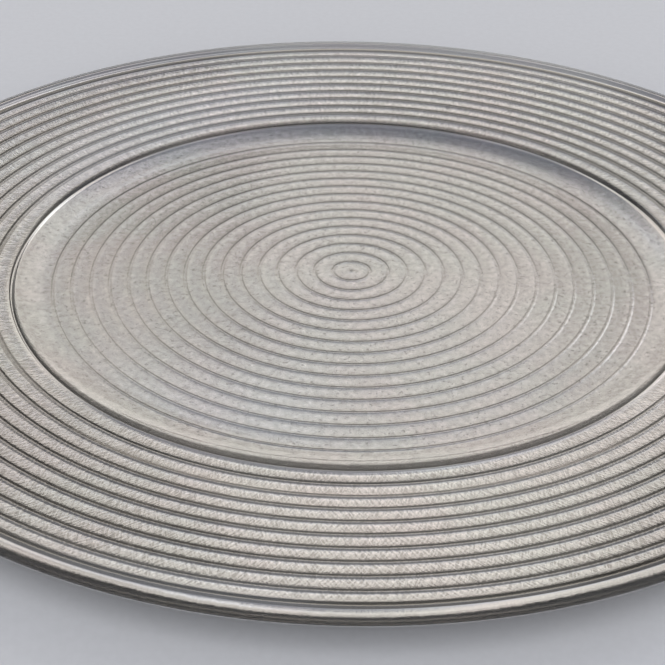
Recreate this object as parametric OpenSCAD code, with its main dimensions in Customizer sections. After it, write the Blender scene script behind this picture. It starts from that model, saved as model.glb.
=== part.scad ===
// Charger plate: one round blank of pressed clear glass with a smooth upper face and a
// reeded back. The back is silvered all over and the silver is sealed with paint, so the
// reeding shows through the glass as metallic rings. The plate stands on the painted crowns
// of the reeds under its floor. Nothing on it moves.
//
// Every piece is one half section turned about +Z. A section is a list of [radius, height]
// points. The origin is the middle of the base, on the surface that the plate stands on.

/* [Plate] */
// Diameter over the rounded lip
plate_d = 330; // [290:1:360]
// Thickness of the glass, square to its faces
glass_t = 4; // [3:0.1:6]

/* [Well] */
// Radius of the flat floor that a dinner plate stands on
floor_r = 91; // [80:0.5:96]
// Radius of the hollow curve of the cove, on its upper face
cove_r = 29; // [24:0.5:40]
// Slope of the cove where it meets the shoulder, in degrees
cove_slope = 24; // [16:1:32]
// Radius of the shoulder's bend, on the back
shoulder_r = 1.5; // [0.5:0.1:4]

/* [Rim] */
// Slope of the rim, in degrees
rim_slope = 6.6; // [2:0.1:10]

/* [Reeding] */
// Distance between the grooves under the floor
floor_pitch = 5.77; // [4.5:0.01:8]
// Width of a groove under the floor
floor_groove_w = 1.6; // [0.8:0.1:2.4]
// Depth of a groove under the floor
floor_groove_depth = 0.1; // [0.05:0.05:0.4]
// Radius of the crown of a reed under the floor
floor_crown_r = 150; // [20:1:300]
// Width of the groove under the shoulder
shoulder_groove_w = 1.2; // [0.8:0.1:2]
// Depth of the groove under the shoulder
shoulder_groove_depth = 0.2; // [0.1:0.05:0.5]
// Distance between the grooves under the rim
rim_pitch = 5.42; // [4.5:0.01:8]
// Width of a groove under the rim
rim_groove_w = 2.2; // [1.4:0.1:2.8]
// Depth of a groove under the rim
rim_groove_depth = 0.2; // [0.1:0.05:0.5]
// Distance from the groove under the shoulder to the first groove under the rim
rim_reeding_inset = 6.2; // [3:0.05:8]
// Radius of the crown of a reed under the rim
rim_crown_r = 40; // [10:1:60]
// Width of the gutter that ends the reeding near the lip
gutter_w = 3; // [2:0.1:6]
// Depth of the gutter
gutter_depth = 0.3; // [0.1:0.05:0.6]
// Distance from the plate's edge to the middle of the gutter
gutter_inset = 5.7; // [5:0.1:8]

/* [Coats] */
// Thickness of the silver coat
silver_t = 0.1; // [0.05:0.01:0.3]
// Thickness of the paint that seals the silver
paint_t = 0.15; // [0.05:0.01:0.3]
// How far round the lip the coats reach from its underside, in degrees
lip_wrap = 45; // [0:5:50]

/* [Hidden] */

// Straight steps that stand for one curve of the section. A groove has an even number, so
// that one point is its middle. A crown has an odd number, so that it stands on a flat.
groove_steps = 8;
crown_steps = 5;
bend_steps = 4;
cove_steps = 14;
lip_steps = 10;
wrap_steps = 4;
$fn = 180;

// The floor stands on its coated crowns, and each part of the plate rises from the one
// before it: floor, cove, shoulder, rim, lip
floor_crown_half = (floor_pitch - floor_groove_w) / 2;
floor_crown_depth = floor_crown_r - side_of(floor_crown_r, floor_crown_half);
floor_back_z = paint_t + silver_t + floor_crown_depth;
floor_top_z = floor_back_z + glass_t;
shoulder_top_r = shoulder_r + glass_t;
cove_back_r = cove_r + glass_t;
cove_centre = [floor_r, floor_top_z + cove_r];
shoulder_centre = cove_centre - slope_normal(cove_slope) * (cove_r + shoulder_top_r);
shoulder_start = shoulder_centre + slope_normal(cove_slope) * shoulder_r;
rim_start = shoulder_centre + slope_normal(rim_slope) * shoulder_r;
plate_r = plate_d / 2;
lip_r = glass_t / 2;
lip_centre_r = plate_r - lip_r;
lip_centre = [lip_centre_r, rim_back_height(lip_centre_r) + lip_r / cos(rim_slope)];

// Reeding: one groove under the foot of the cove, one under the shoulder, and those that fit
// between the shoulder and the gutter
floor_groove_count = round(floor_r / floor_pitch);
floor_reeding_end = floor_groove_count * floor_pitch + floor_groove_w / 2;
shoulder_groove_r = (shoulder_start[0] + rim_start[0]) / 2;
first_rim_groove = shoulder_groove_r + rim_reeding_inset;
gutter_centre = plate_r - gutter_inset;
rim_reeding_end = gutter_centre - gutter_w / 2;
rim_groove_count = floor((rim_reeding_end - rim_groove_w / 2 - first_rim_groove) / rim_pitch);

// Unit vector square to a face that rises outwards at this slope, pointing up
function slope_normal(slope) = [-sin(slope), cos(slope)];

// Points of an arc between two angles
function arc(centre, radius, from, to, steps) = [
    for (i = [0 : steps])
        let (angle = from + (to - from) * i / steps)
            centre + radius * [cos(angle), sin(angle)]
];

function reversed(points) = [for (i = [len(points) - 1 : -1 : 0]) points[i]];

// A curve without its first point, which is the last point of the curve before it
function continued(points) = [for (i = [1 : len(points) - 1]) points[i]];

// Height of the back at a radius, before the reeding is pressed into it
function back_height(radius) =
    radius < floor_r ? floor_back_z :
    radius < shoulder_start[0] ? cove_centre[1] - side_of(cove_back_r, radius - cove_centre[0]) :
    radius < rim_start[0] ? shoulder_centre[1] + side_of(shoulder_r, radius - shoulder_centre[0]) :
    rim_back_height(radius);
function rim_back_height(radius) = rim_start[1] + (radius - rim_start[0]) * tan(rim_slope);
function side_of(longest_side, other_side) = sqrt(pow(longest_side, 2) - pow(other_side, 2));

// The reeding is a list of [radius, offset] points. A groove sinks into the glass as one wave
// of a cosine, and the crown of a reed swells from it as an arc.
function groove(middle, width, depth) = [
    for (i = [0 : groove_steps])
        let (share = i / groove_steps - 0.5)
            [middle + width * share, depth * (1 + cos(360 * share)) / 2]
];
function crown(from, to, radius) = [
    for (i = [0 : crown_steps])
        let (half_chord = (to - from) / 2, distance = half_chord * (2 * i / crown_steps - 1))
            [from + half_chord + distance, side_of(radius, half_chord) - side_of(radius, distance)]
];
function reed(from, crown_r, middle, width, depth) = concat(
    continued(crown(from, middle - width / 2, crown_r)),
    continued(groove(middle, width, depth))
);

// Reeding under the floor, from the half groove at its centre, which is a dimple
function floor_reeding() = concat(
    [for (point = groove(0, floor_groove_w, floor_groove_depth)) if (point[0] >= 0) point],
    [
        for (k = [1 : floor_groove_count])
            let (middle = k * floor_pitch, crown_start = middle - floor_pitch + floor_groove_w / 2)
                each reed(crown_start, floor_crown_r, middle, floor_groove_w, floor_groove_depth)
    ]
);

// The smooth back of the cove, up to the groove under the shoulder
function cove_back() =
    let (run = shoulder_groove_r - shoulder_groove_w / 2 - floor_reeding_end)
        [for (i = [1 : cove_steps]) [floor_reeding_end + run * i / cove_steps, 0]];

// Reeding under the shoulder and the rim, up to the far side of the gutter
function rim_reeding() = concat(
    continued(groove(shoulder_groove_r, shoulder_groove_w, shoulder_groove_depth)),
    reed(
        shoulder_groove_r + shoulder_groove_w / 2,
        rim_crown_r,
        first_rim_groove,
        rim_groove_w,
        rim_groove_depth
    ),
    [
        for (k = [1 : rim_groove_count])
            let (
                middle = first_rim_groove + k * rim_pitch,
                crown_start = middle - rim_pitch + rim_groove_w / 2
            )
                each reed(crown_start, rim_crown_r, middle, rim_groove_w, rim_groove_depth)
    ],
    reed(
        first_rim_groove + rim_groove_count * rim_pitch + rim_groove_w / 2,
        rim_crown_r,
        gutter_centre,
        gutter_w,
        gutter_depth
    )
);

// Upper face of the glass, from the centre to the lip
function upper_face() = concat(
    [[0, floor_top_z]],
    arc(cove_centre, cove_r, 270, 270 + cove_slope, cove_steps),
    continued(arc(shoulder_centre, shoulder_top_r, 90 + cove_slope, 90 + rim_slope, bend_steps))
);

// The polished lip, a half round from the upper face to the back. The coats cover its lower
// part.
wrap_end = rim_slope - 90 + lip_wrap;
function clear_lip() = arc(lip_centre, lip_r, 90 + rim_slope, wrap_end, lip_steps);
function coated_lip() = arc(lip_centre, lip_r, rim_slope - 90, wrap_end, wrap_steps);

// The coated back of the glass, from the centre to where the coats end on the lip
function coated_back() = concat(
    [
        for (point = concat(floor_reeding(), cove_back(), rim_reeding()))
            [point[0], back_height(point[0]) + point[1]]
    ],
    coated_lip()
);

// A coat is sprayed square at the back, so it is equally thick along the plate's axis
// everywhere
function lowered(points, drop) = [for (point = points) point - [0, drop]];
function coat(above, thickness) =
    concat(lowered(coated_back(), above), reversed(lowered(coated_back(), above + thickness)));

module turned(section) {
    rotate_extrude() polygon(section);
}

module glass_plate() {
    color([0.82, 0.86, 0.86, 0.45])
        turned(concat(upper_face(), clear_lip(), continued(reversed(coated_back()))));
}

module silver_coat() {
    color([0.72, 0.71, 0.69]) turned(coat(0, silver_t));
}

module paint_coat() {
    color([0.45, 0.45, 0.46]) turned(coat(silver_t, paint_t));
}

glass_plate();
silver_coat();
paint_coat();
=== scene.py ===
"""Charger plate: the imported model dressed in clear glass, silver and backing paint, on a pale
studio floor. Lengths are metres, and the patterns of the materials are laid out in millimetres.
Each piece of the plate is a line of (radius, height) points that is turned about +Z."""

import math
from collections import namedtuple

import bpy
from bpy.props import FloatProperty, FloatVectorProperty, PointerProperty
from mathutils import Matrix, Vector


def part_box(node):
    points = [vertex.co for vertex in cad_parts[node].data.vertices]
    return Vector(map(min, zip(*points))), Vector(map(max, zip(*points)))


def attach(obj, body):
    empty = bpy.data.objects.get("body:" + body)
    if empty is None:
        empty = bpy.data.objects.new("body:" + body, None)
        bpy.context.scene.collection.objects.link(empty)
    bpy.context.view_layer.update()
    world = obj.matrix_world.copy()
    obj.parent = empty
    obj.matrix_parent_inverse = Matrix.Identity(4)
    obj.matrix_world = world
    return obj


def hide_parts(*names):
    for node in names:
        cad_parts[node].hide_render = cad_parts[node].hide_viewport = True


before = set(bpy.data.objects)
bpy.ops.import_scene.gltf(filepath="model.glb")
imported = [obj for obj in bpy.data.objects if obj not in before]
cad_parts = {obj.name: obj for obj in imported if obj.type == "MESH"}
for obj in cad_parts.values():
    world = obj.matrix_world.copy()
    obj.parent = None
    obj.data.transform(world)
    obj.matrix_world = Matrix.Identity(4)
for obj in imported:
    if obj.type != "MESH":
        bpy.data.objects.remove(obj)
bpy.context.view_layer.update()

bl_info = {
    "name": "Charger plate",
    "version": (1, 0, 0),
    "blender": (4, 5, 0),
    "location": "View3D > Sidebar > Plate",
    "description": "Builds a reeded glass charger plate with a silvered back and a photo stage",
    "category": "Object",
}

MM = 0.001
LOW_CORNER, HIGH_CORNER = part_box("glass_plate")
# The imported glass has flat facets, so its box is a little less wide along some axes. The dressed
# plate keeps inside it.
PLATE_R = min(HIGH_CORNER.x, HIGH_CORNER.y, -LOW_CORNER.x, -LOW_CORNER.y)


# Settings

def number(name, description, default, **options):
    return FloatProperty(name=name, description=description, default=default, **options)


def length(name, description, millimetres):
    return number(name, description, millimetres * MM, unit="LENGTH", precision=5)


def angle(name, description, degrees):
    return number(name, description, math.radians(degrees), subtype="ANGLE", unit="ROTATION")


def share(name, description, default):
    return number(name, description, default, min=0, max=1, subtype="FACTOR")


def colour(name, description, default):
    return FloatVectorProperty(
        name=name, description=description, default=default, size=3, min=0, max=1, subtype="COLOR"
    )


class PlateSizes(bpy.types.PropertyGroup):
    plate_r: length("Plate radius", "Radius over the rounded lip", PLATE_R / MM)
    glass_t: length("Glass thickness", "Thickness of the glass, square to its faces", 4)
    floor_r: length("Floor radius", "Radius of the flat floor of the well", 91)
    cove_r: length("Cove radius", "Radius of the cove's hollow curve, on its upper face", 29)
    cove_slope: angle("Cove slope", "Slope of the cove where it meets the shoulder", 24)
    shoulder_r: length("Shoulder bend", "Radius of the shoulder's bend, on the back", 1.5)
    rim_slope: angle("Rim slope", "Slope of the rim", 6.6)
    floor_pitch: length("Floor pitch", "Distance between the grooves under the floor", 5.77)
    floor_groove_w: length("Floor groove width", "Width of a groove under the floor", 1.6)
    floor_groove_depth: length("Floor groove depth", "Depth of a groove under the floor", 0.1)
    floor_crown_r: length("Floor crown radius", "Radius of a reed's crown under the floor", 150)
    shoulder_groove_w: length("Shoulder groove width", "Width of the shoulder's groove", 1.2)
    shoulder_groove_depth: length("Shoulder groove depth", "Depth of the shoulder's groove", 0.2)
    rim_pitch: length("Rim pitch", "Distance between the grooves under the rim", 5.42)
    rim_groove_w: length("Rim groove width", "Width of a groove under the rim", 2.2)
    rim_groove_depth: length("Rim groove depth", "Depth of a groove under the rim", 0.2)
    rim_reeding_inset: length("Rim reeding inset", "From the shoulder's groove to the next", 6.2)
    rim_crown_r: length("Rim crown radius", "Radius of a reed's crown under the rim", 40)
    gutter_w: length("Gutter width", "Width of the gutter near the lip", 3)
    gutter_depth: length("Gutter depth", "Depth of the gutter near the lip", 0.3)
    gutter_inset: length("Gutter inset", "From the plate's edge to the gutter's middle", 5.7)
    silver_t: length("Silver thickness", "Thickness of the silver coat", 0.1)
    paint_t: length("Paint thickness", "Thickness of the paint behind the silver", 0.15)
    lip_wrap: angle("Lip wrap", "How far round the lip the coats reach from its underside", 45)


class PlateLook(bpy.types.PropertyGroup):
    glass: colour("Glass", "Tint of the glass", (0.985, 0.99, 0.985))
    silver: colour("Silver", "Colour of the satin silver", (0.87, 0.87, 0.85))
    blush: colour("Blush", "Colour that the satin silver drifts to", (0.90, 0.855, 0.85))
    # The darkest colour of the silver, used for its real wear and also for the shade painted into
    # its grooves. The next three set how much shade is painted into the grooves under the floor,
    # under the shoulder and under the rim.
    tarnish_and_shade: colour("Tarnish", "Colour of fully tarnished silver", (0.36, 0.34, 0.31))
    floor_groove_painted_shade: share("Floor tarnish", "Tarnish in the grooves under the floor", 0.12)
    shoulder_groove_painted_shade: share("Shoulder tarnish", "Tarnish in the groove under the shoulder", 0.15)
    rim_groove_painted_shade: share("Rim tarnish", "Tarnish in the grooves under the rim", 0.65)
    well_wear: share("Well wear", "Tarnish mottled over the well", 0.2)
    speck_wear: share("Speck wear", "Tarnish of the specks in the well", 0.3)
    rim_wear: share("Rim wear", "Tarnish over the whole rim", 0.15)
    stroke_wear: share("Stroke wear", "Tarnish of the strokes on the rim", 0.35)
    silver_roughness: share("Silver roughness", "Roughness of the satin silver", 0.14)
    well_roughness: share("Well roughness", "Roughness that the well adds to that", 0.07)
    silver_relief: length("Silver relief", "Height of the silver's mottle and strokes", 0.04)
    paint: colour("Backing paint", "Colour of the sprayed enamel", (0.18, 0.18, 0.185))
    paint_relief: length("Paint relief", "Height of the enamel's pebbled skin", 0.05)


class StageLook(bpy.types.PropertyGroup):
    floor: colour("Floor", "Colour of the studio floor", (0.60, 0.61, 0.64))
    far: colour("Far light", "Light from the far side", (0.98, 0.94, 0.88))
    overhead: colour("Overhead light", "Light from overhead", (0.19, 0.20, 0.235))
    shade: colour("Shade", "Light from the shaded parts of the far side", (0.50, 0.47, 0.44))
    panel: colour("Panels", "Light of the bright panels", (0.92, 0.94, 1.0))
    behind: colour("Light behind", "Light from behind the camera", (0.66, 0.66, 0.68))
    backdrop: colour("Backdrop", "The studio as the camera sees it", (0.57, 0.57, 0.605))
    lamp: number("Lamp", "Strength of the soft lamp above the camera", 2.15)
    lamp_spread: angle("Lamp spread", "Width of the soft lamp in the sky", 100)
    lamp_height: angle("Lamp height", "Elevation of the lamp, on the camera's side", 35)
    lens: number("Focal length", "Focal length of the camera", 78.8, unit="CAMERA")
    elevation: angle("Elevation", "Height of the camera above the plate", 30.38)
    distance: length("Distance", "From the camera to the middle of the well", 455.7)
    roll: angle("Roll", "Turn of the camera about its line of sight", 1.11)


# Lines of the section, from the plate's axis outwards

# Straight steps that stand for one curve. A groove has an even number, so that one point is its
# middle. A crown has an odd number, so that it stands on a flat.
GROOVE_STEPS = 6
CROWN_STEPS = 3
BEND_STEPS = 6
COVE_STEPS = 16
LIP_STEPS = 20
WRAP_STEPS = 6


def slope_normal(slope):
    """Unit vector square to a face that rises outwards at this slope, pointing up."""
    return Vector((-math.sin(slope), math.cos(slope)))


def side_of(longest_side, other_side):
    """Third side of a right-angled triangle."""
    return math.sqrt(longest_side**2 - other_side**2)


def arc(centre, radius, start, end, steps):
    """Points of an arc between two angles."""
    turns = [start + (end - start) * i / steps for i in range(steps + 1)]
    return [(centre.x + radius * math.cos(t), centre.y + radius * math.sin(t)) for t in turns]


def groove(middle, width, depth):
    """One groove as (radius, offset) points. It sinks into the glass as one wave of a cosine."""
    shares = [i / GROOVE_STEPS - 0.5 for i in range(GROOVE_STEPS + 1)]
    return [(middle + width * s, depth * (1 + math.cos(math.tau * s)) / 2) for s in shares]


def reed(start, radius, middle, width, depth):
    """The crown of a reed, an arc that swells from the glass, and the groove that ends it."""
    half = (middle - width / 2 - start) / 2
    distances = [half * (2 * i / CROWN_STEPS - 1) for i in range(1, CROWN_STEPS + 1)]
    crown = [(start + half + d, side_of(radius, half) - side_of(radius, d)) for d in distances]
    return crown + groove(middle, width, depth)[1:]


class Section:
    """The plate's half section, worked out from its sizes."""

    def __init__(self, sizes):
        self.sizes = sizes
        floor_crown_half = (sizes.floor_pitch - sizes.floor_groove_w) / 2
        floor_crown_depth = sizes.floor_crown_r - side_of(sizes.floor_crown_r, floor_crown_half)
        self.floor_back_z = sizes.paint_t + sizes.silver_t + floor_crown_depth
        self.floor_top_z = self.floor_back_z + sizes.glass_t
        self.shoulder_top_r = sizes.shoulder_r + sizes.glass_t
        self.cove_centre = Vector((sizes.floor_r, self.floor_top_z + sizes.cove_r))
        cove_normal = slope_normal(sizes.cove_slope)
        self.shoulder_centre = self.cove_centre - cove_normal * (sizes.cove_r + self.shoulder_top_r)
        self.shoulder_start = self.shoulder_centre + cove_normal * sizes.shoulder_r
        self.rim_start = self.shoulder_centre + slope_normal(sizes.rim_slope) * sizes.shoulder_r
        lip_centre_r = sizes.plate_r - sizes.glass_t / 2
        lip_rise = sizes.glass_t / 2 / math.cos(sizes.rim_slope)
        self.lip_centre = Vector((lip_centre_r, self.back_height(lip_centre_r) + lip_rise))
        self.wrap_end = sizes.rim_slope + sizes.lip_wrap - math.pi / 2
        self.floor_grooves = round(sizes.floor_r / sizes.floor_pitch)
        self.shoulder_groove_r = (self.shoulder_start.x + self.rim_start.x) / 2
        self.first_rim_groove = self.shoulder_groove_r + sizes.rim_reeding_inset
        self.gutter_r = sizes.plate_r - sizes.gutter_inset
        last_place = self.gutter_r - (sizes.gutter_w + sizes.rim_groove_w) / 2
        reeding_run = last_place - self.first_rim_groove
        self.rim_grooves = math.floor(reeding_run / sizes.rim_pitch)
        self.last_rim_groove = self.first_rim_groove + self.rim_grooves * sizes.rim_pitch

    def back_height(self, r):
        """Height of the back at a radius, before the reeding is pressed into it."""
        sizes = self.sizes
        if r < sizes.floor_r:
            return self.floor_back_z
        if r < self.shoulder_start.x:
            cove_back_r = sizes.cove_r + sizes.glass_t
            return self.cove_centre.y - side_of(cove_back_r, r - self.cove_centre.x)
        if r < self.rim_start.x:
            return self.shoulder_centre.y + side_of(sizes.shoulder_r, r - self.shoulder_centre.x)
        return self.rim_start.y + (r - self.rim_start.x) * math.tan(sizes.rim_slope)

    def reeding(self):
        """The back's reeding as (radius, offset) points, from the dimple at its middle."""
        sizes = self.sizes
        floor_groove = (sizes.floor_groove_w, sizes.floor_groove_depth)
        shoulder_groove = (sizes.shoulder_groove_w, sizes.shoulder_groove_depth)
        rim_groove = (sizes.rim_groove_w, sizes.rim_groove_depth)
        gutter = (sizes.gutter_w, sizes.gutter_depth)
        points = groove(0, *floor_groove)[GROOVE_STEPS // 2 :]
        for k in range(1, self.floor_grooves + 1):
            middle = k * sizes.floor_pitch
            points += reed(points[-1][0], sizes.floor_crown_r, middle, *floor_groove)
        cove_start = points[-1][0]
        cove_run = self.shoulder_groove_r - sizes.shoulder_groove_w / 2 - cove_start
        points += [(cove_start + cove_run * i / COVE_STEPS, 0) for i in range(1, COVE_STEPS + 1)]
        points += groove(self.shoulder_groove_r, *shoulder_groove)[1:]
        for k in range(self.rim_grooves + 1):
            middle = self.first_rim_groove + k * sizes.rim_pitch
            points += reed(points[-1][0], sizes.rim_crown_r, middle, *rim_groove)
        return points + reed(points[-1][0], sizes.rim_crown_r, self.gutter_r, *gutter)

    def coated_back(self, drop):
        """The back of the glass moved down by a coat, up to where the coats end on the lip."""
        back = [(r, self.back_height(r) + offset - drop) for r, offset in self.reeding()]
        lip_start = self.sizes.rim_slope - math.pi / 2
        lip = arc(self.lip_centre, self.sizes.glass_t / 2, lip_start, self.wrap_end, WRAP_STEPS)
        return back + [(r, z - drop) for r, z in lip]

    def coat(self, above, thickness):
        """A coat sprayed square at the back, so equally thick along the axis everywhere."""
        return self.coated_back(above) + self.coated_back(above + thickness)[::-1]

    def clear_face(self):
        """The upper face and the lip, down to where the coats begin. No point lies higher than
        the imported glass, whose lip has fewer steps."""
        sizes = self.sizes
        quarter = math.pi / 2
        cove = arc(self.cove_centre, sizes.cove_r, -quarter, sizes.cove_slope - quarter, COVE_STEPS)
        bend_start = quarter + sizes.cove_slope
        bend_end = quarter + sizes.rim_slope
        bend = arc(self.shoulder_centre, self.shoulder_top_r, bend_start, bend_end, BEND_STEPS)
        lip = arc(self.lip_centre, sizes.glass_t / 2, bend_end, self.wrap_end, LIP_STEPS)
        lowered_lip = [(r, min(z, HIGH_CORNER.z)) for r, z in lip]
        return [(0, self.floor_top_z)] + cove + bend[1:] + lowered_lip


# Meshes

SEGMENTS = 180
# Edges that turn more than this stay crisp
SHARP = math.radians(50)


def turned(name, line):
    """A mesh object turned from a line of (radius, height) points. A point on the axis becomes
    one vertex."""
    vertices = []
    rings = []
    for r, z in line:
        count = 1 if r == 0 else SEGMENTS
        rings.append([len(vertices) + i % count for i in range(SEGMENTS + 1)])
        for i in range(count):
            turn = math.tau * i / SEGMENTS
            vertices.append((r * math.cos(turn), r * math.sin(turn), z))
    faces = []
    for inner, outer in zip(rings, rings[1:]):
        for i in range(SEGMENTS):
            corners = [inner[i], outer[i], outer[i + 1], inner[i + 1]]
            faces.append(list(dict.fromkeys(corners)))
    mesh = bpy.data.meshes.new(name)
    mesh.from_pydata(vertices, [], faces)
    mesh.polygons.foreach_set("use_smooth", [True] * len(mesh.polygons))
    mesh.set_sharp_from_angle(angle=SHARP)
    piece = bpy.data.objects.new(name, mesh)
    bpy.context.scene.collection.objects.link(piece)
    return piece


def dress(piece, node, material):
    """Puts a piece on the plate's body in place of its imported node."""
    piece.data.materials.append(material)
    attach(piece, "root")
    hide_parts(node)


# Shader maths

# Numbers of the sockets of a Mix node that mixes colours
MIX_FACTOR = 0
MIX_A = 6
MIX_B = 7
MIX_RESULT = 2


class Value:
    """A socket that holds a number. Each sum on it adds one Math node."""

    def __init__(self, shader, socket):
        self.shader = shader
        self.socket = socket

    def sum(self, operation, *terms):
        return self.shader.node("ShaderNodeMath", {"operation": operation}, dict(enumerate(terms)))

    def __add__(self, other):
        return self.sum("ADD", self, other)

    def __radd__(self, other):
        return self.sum("ADD", other, self)

    def __sub__(self, other):
        return self.sum("SUBTRACT", self, other)

    def __rsub__(self, other):
        return self.sum("SUBTRACT", other, self)

    def __mul__(self, other):
        return self.sum("MULTIPLY", self, other)

    def __rmul__(self, other):
        return self.sum("MULTIPLY", other, self)

    def __abs__(self):
        return self.sum("ABSOLUTE", self)

    def most(self, other):
        return self.sum("MAXIMUM", self, other)

    def to_multiple(self, pitch):
        """Distance to the nearest multiple of the pitch."""
        return self.sum("PINGPONG", self, pitch / 2)

    def ramp(self, low, high):
        """0 at low, 1 at high, held beyond them and smooth in between."""
        settings = {"interpolation_type": "SMOOTHSTEP"}
        values = {"Value": self, "From Min": low, "From Max": high}
        return self.shader.node("ShaderNodeMapRange", settings, values)

    def band(self, low, high, blur):
        """1 between low and high and 0 outside, with edges that blur this far to both sides."""
        return self.ramp(low - blur, low + blur) * (1 - self.ramp(high - blur, high + blur))


class Shader:
    """The node tree of a material or world, and the nodes that this scene uses in it."""

    def __init__(self, owner):
        owner.use_nodes = True
        self.tree = owner.node_tree
        self.tree.nodes.clear()

    def node(self, kind, settings=None, values=None, output=0):
        """Adds a node. Values are numbers, colours or other nodes' outputs, by input socket."""
        made = self.tree.nodes.new(kind)
        for name, setting in (settings or {}).items():
            setattr(made, name, setting)
        for name, value in (values or {}).items():
            if isinstance(value, Value):
                self.tree.links.new(value.socket, made.inputs[name])
            else:
                made.inputs[name].default_value = value
        return Value(self, made.outputs[output] if made.outputs else None)

    def vector(self, operation, values, output=0):
        return self.node("ShaderNodeVectorMath", {"operation": operation}, values, output)

    def place(self):
        """Object coordinates in millimetres."""
        coordinates = self.node("ShaderNodeTexCoord", output="Object")
        return self.vector("SCALE", {0: coordinates, "Scale": 1 / MM})

    def parts(self, vector):
        return [self.node("ShaderNodeSeparateXYZ", None, {0: vector}, i) for i in range(3)]

    def joined(self, x, y, z):
        return self.node("ShaderNodeCombineXYZ", None, {0: x, 1: y, 2: z})

    def noise(self, vector, scale, detail=2.0, roughness=0.5):
        values = {"Vector": vector, "Scale": scale, "Detail": detail, "Roughness": roughness}
        return self.node("ShaderNodeTexNoise", None, values)

    def mix(self, factor, a, b):
        """A mix of two colours."""
        values = {MIX_FACTOR: factor, MIX_A: a, MIX_B: b}
        return self.node("ShaderNodeMix", {"data_type": "RGBA"}, values, MIX_RESULT)

    def bump(self, height, distance):
        values = {"Height": height, "Distance": distance, "Strength": 1.0}
        return self.node("ShaderNodeBump", None, values)

    def principled(self, values):
        surface = self.node("ShaderNodeBsdfPrincipled", None, values)
        self.node("ShaderNodeOutputMaterial", None, {"Surface": surface})


def rgba(rgb, factor=1.0):
    """A colour for a socket, made darker or lighter by the factor."""
    return (*[min(1, channel * factor) for channel in rgb], 1)


def new_material(name):
    material = bpy.data.materials.new(name)
    return material, Shader(material)


# Materials

def glass_material(look):
    """Clear glass, polished but for faint wiped patches."""
    material, shader = new_material("ClearGlass")
    haze = shader.noise(shader.place(), scale=0.05, detail=3, roughness=0.6)
    shader.principled({
        "Base Color": rgba(look.glass),
        "Roughness": haze.ramp(0.5, 0.9) * 0.05,
        "IOR": 1.5,
        "Transmission Weight": 1.0,
    })
    return material


# Distances from the middle of a groove, as shares of its width, between which the shade painted
# into it fades
PAINTED_SHADE_CORE_SHARE = 0.34
PAINTED_SHADE_EDGE_SHARE = 0.44


def groove_shade(radius, first, last, pitch, width):
    """Mask of painted shade: 1 in a family of grooves and 0 on the crowns between them."""
    past_first = radius - first / MM
    past_last = radius - last / MM
    distance = past_first.to_multiple(pitch / MM).most(0 - past_first).most(past_last)
    return 1 - distance.ramp(PAINTED_SHADE_CORE_SHARE * width / MM, PAINTED_SHADE_EDGE_SHARE * width / MM)


# Strokes in a radian of the plate's round and in a millimetre of its radius
STROKES_AROUND = 220
STROKES_OUTWARDS = 0.3
# Slant of the strokes, in radians of the plate's round for each millimetre of its radius
STROKE_SLANT = 0.003
# Widths, in millimetres, over which the finish changes at the shoulder and at the gutter
SHOULDER_FADE = 2
GUTTER_FADE = 1


def strokes(shader, direction, radius, slant):
    """Fine strokes drawn across the reeds."""
    settings = {"rotation_type": "Z_AXIS"}
    values = {"Vector": direction, "Angle": radius * slant}
    x, y, _ = shader.parts(shader.node("ShaderNodeVectorRotate", settings, values))
    drawn_out = shader.joined(x * STROKES_AROUND, y * STROKES_AROUND, radius * STROKES_OUTWARDS)
    return shader.noise(drawn_out, scale=1, detail=1).ramp(0.4, 0.6)


def painted_groove_shade(look, section, radius):
    """How much shade is painted into the silver's colour in each family of grooves, the gutter at
    full strength.
    """
    sizes = section.sizes
    floor_end = section.floor_grooves * sizes.floor_pitch
    shoulder_r = section.shoulder_groove_r
    rim_start = section.first_rim_groove
    rim_end = section.last_rim_groove
    gutter_r = section.gutter_r
    floor_pitch = sizes.floor_pitch
    rim_pitch = sizes.rim_pitch
    floor = groove_shade(radius, 0, floor_end, floor_pitch, sizes.floor_groove_w)
    shoulder = groove_shade(radius, shoulder_r, shoulder_r, floor_pitch, sizes.shoulder_groove_w)
    rim = groove_shade(radius, rim_start, rim_end, rim_pitch, sizes.rim_groove_w)
    gutter = groove_shade(radius, gutter_r, gutter_r, rim_pitch, sizes.gutter_w)
    well = floor * look.floor_groove_painted_shade + shoulder * look.shoulder_groove_painted_shade
    # Painted shade: the gutter is shaded fully, the other grooves by their shares
    return well + rim * look.rim_groove_painted_shade + gutter


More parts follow.
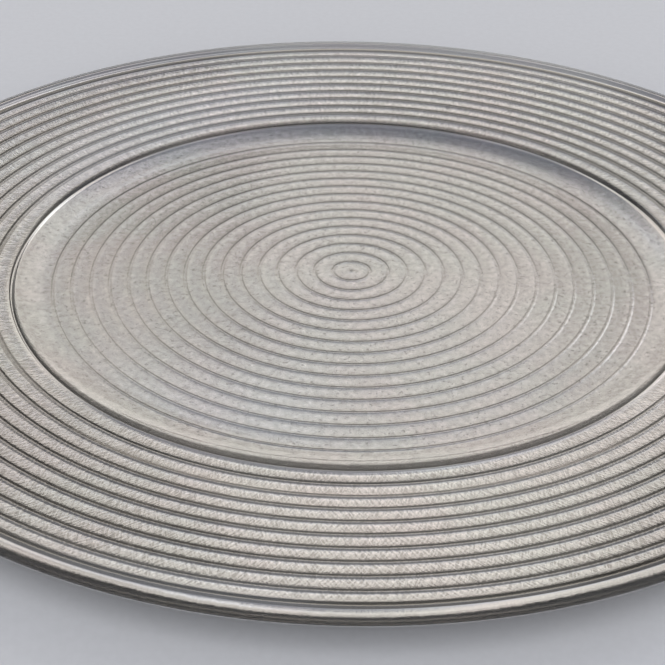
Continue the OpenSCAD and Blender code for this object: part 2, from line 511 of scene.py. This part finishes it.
def silver_material(look, section):
    """Satin silver seen through the glass: darkened in the grooves by painted shade, mottled and
    specked in the well, and crossed on the rim by the fine strokes of the mould."""
    material, shader = new_material("SatinSilver")
    place = shader.place()
    x, y, _ = shader.parts(place)
    flat_place = shader.joined(x, y, 0.0)
    radius = shader.vector("LENGTH", {0: flat_place}, "Value")
    direction = shader.vector("NORMALIZE", {0: flat_place})

    rim_start = section.shoulder_groove_r / MM
    rim_end = (section.gutter_r - section.sizes.gutter_w / 2) / MM
    in_well = 1 - radius.ramp(rim_start - SHOULDER_FADE, rim_start)
    past_shoulder = radius.ramp(rim_start, rim_start + SHOULDER_FADE)
    on_rim = past_shoulder * (1 - radius.ramp(rim_end - GUTTER_FADE, rim_end))

    drift = shader.noise(place, scale=0.03)
    mottle = shader.noise(place, scale=0.5, detail=3, roughness=0.6)
    grain = shader.noise(place, scale=2.2, detail=3, roughness=0.6)
    specks = shader.noise(place, scale=0.9, detail=1).ramp(0.66, 0.72)
    left_slant = strokes(shader, direction, radius, STROKE_SLANT)
    right_slant = strokes(shader, direction, radius, -STROKE_SLANT)
    scored = (left_slant + right_slant - 1) * on_rim

    tinted = shader.mix(drift.ramp(0.35, 0.65), rgba(look.silver), rgba(look.blush))
    well_wear = look.well_wear + 0.5 - mottle + specks * look.speck_wear
    rim_wear = on_rim * look.rim_wear + scored * look.stroke_wear
    marked = shader.mix(in_well * well_wear + rim_wear, tinted, rgba(look.tarnish_and_shade))
    # Shade painted into the colour of the grooves, the shoulder's groove and the gutter, where the
    # reeding falls into shade
    darkened = painted_groove_shade(look, section, radius)
    height = in_well * (mottle * 0.6 + specks * 0.4) + grain * 0.2 + scored * 0.25
    roughness = look.silver_roughness + in_well * look.well_roughness + (grain - 0.5) * 0.12
    shader.principled({
        "Base Color": shader.mix(darkened, marked, rgba(look.tarnish_and_shade)),
        "Metallic": 1.0,
        "Roughness": roughness,
        "Normal": shader.bump(height, look.silver_relief),
    })
    return material


def paint_material(look):
    """Sprayed enamel with the pebbled skin that spraying leaves."""
    material, shader = new_material("BackingPaint")
    place = shader.place()
    peel = shader.noise(place, scale=0.9)
    drift = shader.noise(place, scale=0.12, detail=3, roughness=0.6).ramp(0.35, 0.65)
    shader.principled({
        "Base Color": shader.mix(drift, rgba(look.paint, 0.82), rgba(look.paint)),
        "Roughness": 0.48 + peel * 0.16,
        "Normal": shader.bump(peel, look.paint_relief),
    })
    return material


# Pieces

class PLATE_OT_glass(bpy.types.Operator):
    """Turns the clear glass, from its upper face round its lip"""

    bl_idname = "plate.glass"
    bl_label = "Clear glass"

    def execute(self, context):
        section = Section(context.scene.plate_sizes)
        piece = turned("clear_blank", section.clear_face())
        dress(piece, "glass_plate", glass_material(context.scene.plate_look))
        return {"FINISHED"}


class PLATE_OT_silver(bpy.types.Operator):
    """Lays the silver on the reeded back of the glass"""

    bl_idname = "plate.silver"
    bl_label = "Silver coat"

    def execute(self, context):
        sizes = context.scene.plate_sizes
        section = Section(sizes)
        piece = turned("silvered_back", section.coat(0, sizes.silver_t))
        dress(piece, "silver_coat", silver_material(context.scene.plate_look, section))
        return {"FINISHED"}


class PLATE_OT_paint(bpy.types.Operator):
    """Seals the silver with sprayed enamel"""

    bl_idname = "plate.paint"
    bl_label = "Backing paint"

    def execute(self, context):
        sizes = context.scene.plate_sizes
        piece = turned("sealing_enamel", Section(sizes).coat(sizes.silver_t, sizes.paint_t))
        dress(piece, "paint_coat", paint_material(context.scene.plate_look))
        return {"FINISHED"}


# Stage

# Half the side of the studio floor, in metres
FLOOR_HALF = 3.0
# Side of the picture in pixels, and of the camera's sensor in millimetres
FRAME_SIDE = 665
SENSOR = 36.0
# Where the picture shows the middle of the well, in pixels from its left and its top
WELL_PIXEL = (350.3, 270.8)
RING_PLANE_SHARE = 0.41


def build_floor(look):
    """A square of plain pale paper that catches the plate's shadow."""
    mesh = bpy.data.meshes.new("StudioFloor")
    half = FLOOR_HALF
    corners = [(-half, -half, 0), (half, -half, 0), (half, half, 0), (-half, half, 0)]
    mesh.from_pydata(corners, [], [(0, 1, 2, 3)])
    floor = bpy.data.objects.new("StudioFloor", mesh)
    material, shader = new_material("FloorPaper")
    grain = shader.noise(shader.place(), scale=0.4, detail=3, roughness=0.6).ramp(0.3, 0.7)
    shader.principled({
        "Base Color": shader.mix(grain, rgba(look.floor, 0.97), rgba(look.floor)),
        "Roughness": 0.85,
    })
    mesh.materials.append(material)
    bpy.context.scene.collection.objects.link(floor)


# Patches of light and shade that the silver mirrors. Azimuth counts from the far side towards
# the right, and both it and elevation are in degrees. The sides and the upper and lower edges
# of a patch blur by so much.
Patch = namedtuple("Patch", "azimuths side_blur elevations edge_blur")
LEFT_SHADE = Patch((-16, -4), 1.5, (25, 33), 1.5)
RIGHT_SHADE = Patch((9, 24), 1.5, (24, 36), 2)
HIGH_SHADE = Patch((-13, -6), 2, (37.5, 48), 2)
LEFT_PANEL = Patch((-12, -1), 2, (34, 40), 1.5)
RIGHT_PANEL = Patch((35, 56), 3, (14, 40), 3)
HIGH_PANEL = Patch((5, 22), 3, (42, 60), 3)
LOW_SHADE_ELEVATIONS = (11, 24)
LOW_SHADE_BLUR = 2
# Degrees between which one light fades into the next
FAR_TO_OVERHEAD = (38.5, 45)
SIDE_TO_BEHIND = (85, 120)
BEHIND_TO_OVERHEAD = (32, 50)
OVERHEAD_BEHIND_SIDES = (110, 130)
LOW_TO_FAR = (14, 24)
# How much darker or lighter than their colours the patches are, and how far one covers the rest
LEFT_SHADE_FACTOR = 0.8
HIGH_SHADE_FACTOR = 1.3
HIGH_PANEL_COVER = 0.75
# How much stronger than the far light the panels and the light low over the floor are
LEFT_PANEL_GAIN = 0.5
RIGHT_PANEL_GAIN = 1.4
LOW_GAIN = 0.4


def build_world(look):
    """The light around the plate, laid out by azimuth and elevation in layers that cover each
    other. The camera itself sees a plain backdrop in its place."""
    world = bpy.data.worlds.new("Studio")
    bpy.context.scene.world = world
    shader = Shader(world)
    x, y, z = shader.parts(shader.node("ShaderNodeTexCoord", output="Generated"))
    azimuth = x.sum("ARCTAN2", x, y) * math.degrees(1)
    elevation = z.sum("ARCSINE", z) * math.degrees(1)
    off_axis = abs(azimuth)

    def inside(patch):
        across = azimuth.band(*patch.azimuths, patch.side_blur)
        return across * elevation.band(*patch.elevations, patch.edge_blur)

    left_panel = inside(LEFT_PANEL)
    right_panel = inside(RIGHT_PANEL)
    behind_and_up = off_axis.ramp(*OVERHEAD_BEHIND_SIDES) * elevation.ramp(*BEHIND_TO_OVERHEAD)
    seen = shader.node("ShaderNodeLightPath", output="Is Camera Ray")
    layers = (
        (elevation.ramp(*FAR_TO_OVERHEAD), rgba(look.overhead)),
        (elevation.band(*LOW_SHADE_ELEVATIONS, LOW_SHADE_BLUR), rgba(look.shade)),
        (inside(LEFT_SHADE), rgba(look.shade, LEFT_SHADE_FACTOR)),
        (inside(RIGHT_SHADE), rgba(look.shade)),
        (left_panel, rgba(look.panel)),
        (inside(HIGH_SHADE), rgba(look.overhead, HIGH_SHADE_FACTOR)),
        (inside(HIGH_PANEL) * HIGH_PANEL_COVER, rgba(look.panel)),
        (right_panel, rgba(look.panel)),
        (off_axis.ramp(*SIDE_TO_BEHIND), rgba(look.behind)),
        (behind_and_up, rgba(look.overhead)),
        (seen, rgba(look.backdrop)),
    )
    light = rgba(look.far)
    for cover, tint in layers:
        light = shader.mix(cover, light, tint)
    low = 1 - elevation.ramp(*LOW_TO_FAR)
    gain = left_panel * LEFT_PANEL_GAIN + right_panel * RIGHT_PANEL_GAIN + low * LOW_GAIN
    strength = 1 + gain * (1 - seen)
    background = shader.node("ShaderNodeBackground", None, {"Color": light, "Strength": strength})
    shader.node("ShaderNodeOutputWorld", None, {"Surface": background})


def build_lamp(look):
    """A broad soft lamp above the camera. Only matt surfaces catch it, and the silver mirrors
    the light around the plate alone."""
    data = bpy.data.lights.new("SoftLamp", "SUN")
    data.energy = look.lamp
    data.angle = look.lamp_spread
    lamp = bpy.data.objects.new("SoftLamp", data)
    lamp.rotation_euler.x = math.pi / 2 - look.lamp_height
    lamp.visible_glossy = False
    lamp.visible_transmission = False
    bpy.context.scene.collection.objects.link(lamp)


def build_camera(look, section):
    """The camera sees the middle of the well's rings at WELL_PIXEL. Seen through the glass, the
    rings seem to lie RING_PLANE_SHARE of its thickness below the upper face."""
    pixels = look.lens / SENSOR * FRAME_SIDE
    right_of_middle = WELL_PIXEL[0] - FRAME_SIDE / 2
    below_middle = WELL_PIXEL[1] - FRAME_SIDE / 2
    pan = math.atan2(right_of_middle, pixels)
    tilt = math.atan2(below_middle, math.hypot(pixels, right_of_middle))
    ring_plane_z = section.floor_top_z - RING_PLANE_SHARE * section.sizes.glass_t
    target = Vector((0, 0, ring_plane_z))
    back = Vector((0, -math.cos(look.elevation), math.sin(look.elevation)))
    turn = (
        Matrix.Rotation(math.pi / 2 - look.elevation, 4, "X")
        @ Matrix.Rotation(pan, 4, "Y")
        @ Matrix.Rotation(tilt, 4, "X")
        @ Matrix.Rotation(look.roll, 4, "Z")
    )
    data = bpy.data.cameras.new("Camera")
    data.lens = look.lens
    data.sensor_width = SENSOR
    data.clip_start = 0.01
    camera = bpy.data.objects.new("Camera", data)
    camera.matrix_world = Matrix.Translation(target + back * look.distance) @ turn
    bpy.context.scene.collection.objects.link(camera)
    bpy.context.scene.camera = camera


class PLATE_OT_stage(bpy.types.Operator):
    """Sets up the floor, the light and the camera"""

    bl_idname = "plate.stage"
    bl_label = "Photo stage"

    def execute(self, context):
        look = context.scene.stage_look
        build_floor(look)
        build_world(look)
        build_lamp(look)
        build_camera(look, Section(context.scene.plate_sizes))
        context.scene.view_settings.view_transform = "Standard"
        return {"FINISHED"}


class PLATE_PT_panel(bpy.types.Panel):
    """Lists the builders"""

    bl_label = "Charger plate"
    bl_idname = "PLATE_PT_panel"
    bl_space_type = "VIEW_3D"
    bl_region_type = "UI"
    bl_category = "Plate"

    def draw(self, context):
        for operator in OPERATORS:
            self.layout.operator(operator.bl_idname)


OPERATORS = (PLATE_OT_glass, PLATE_OT_silver, PLATE_OT_paint, PLATE_OT_stage)
CLASSES = (PlateSizes, PlateLook, StageLook, *OPERATORS, PLATE_PT_panel)


def register():
    for cls in CLASSES:
        bpy.utils.register_class(cls)
    bpy.types.Scene.plate_sizes = PointerProperty(type=PlateSizes)
    bpy.types.Scene.plate_look = PointerProperty(type=PlateLook)
    bpy.types.Scene.stage_look = PointerProperty(type=StageLook)


def unregister():
    del bpy.types.Scene.stage_look
    del bpy.types.Scene.plate_look
    del bpy.types.Scene.plate_sizes
    for cls in reversed(CLASSES):
        bpy.utils.unregister_class(cls)


def main():
    register()
    bpy.ops.plate.glass()
    bpy.ops.plate.silver()
    bpy.ops.plate.paint()
    bpy.ops.plate.stage()


if __name__ == "__main__":
    main()
